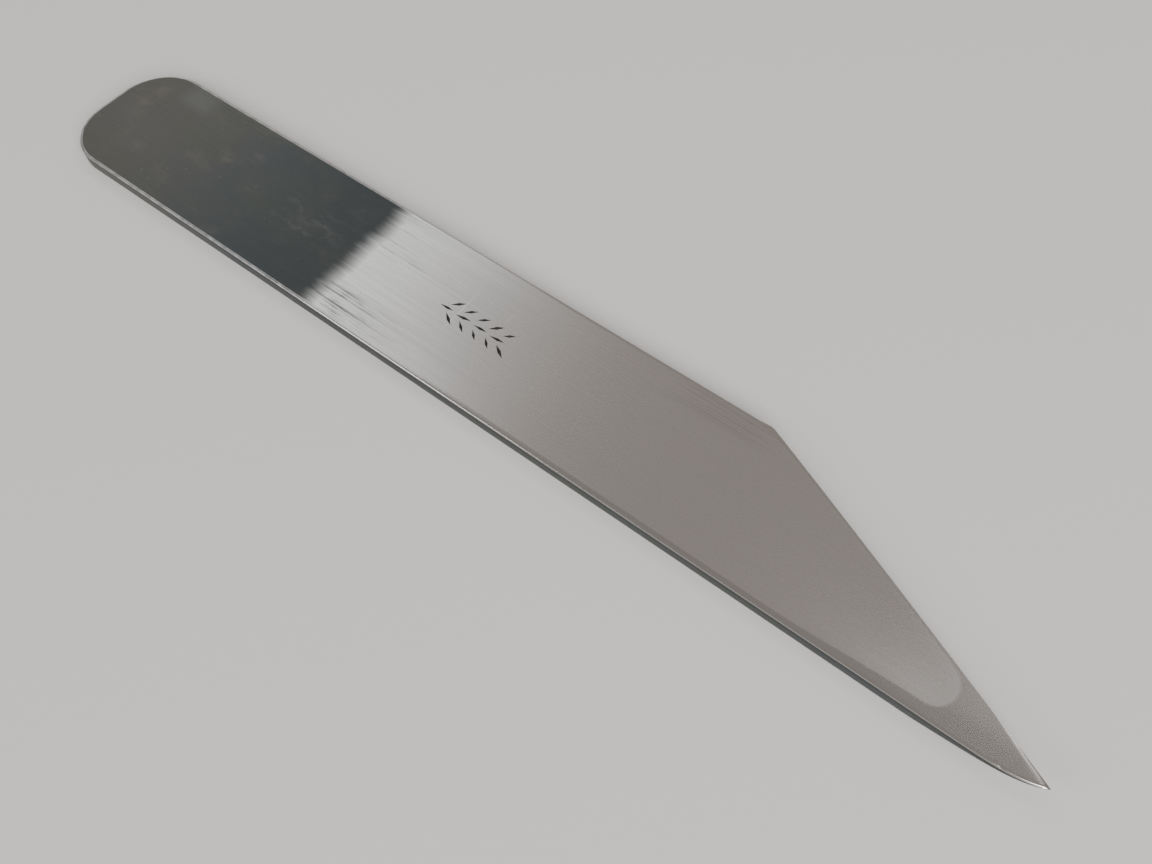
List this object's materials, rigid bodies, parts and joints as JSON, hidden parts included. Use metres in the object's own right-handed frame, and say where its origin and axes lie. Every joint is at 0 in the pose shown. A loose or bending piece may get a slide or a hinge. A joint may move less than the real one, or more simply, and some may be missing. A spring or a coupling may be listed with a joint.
{
  "type": "skiving knife",
  "caption": "Flat one-piece skiving knife with a skew single-bevel edge, a hollow-ground back and a rounded butt, in laminated iron and steel.",
  "frame": {"origin": "middle of the bounding box, on the face the knife lies on (the iron side)", "axes": "+X from the butt to the point, +Y from the spine to the side where the cutting edge starts, +Z out of the hollow-ground steel side"},
  "size_m": [0.181, 0.024, 0.0025],
  "materials": {
    "iron_body": "dark satin oxide, bright where the bevel is ground",
    "steel_plate": "bright lengthwise-ground steel, dark satin oxide on the grip"
  },
  "bodies": {
    "root": {"iron_body": "iron_body", "steel_plate": "steel_plate"}
  },
  "joints": []
}
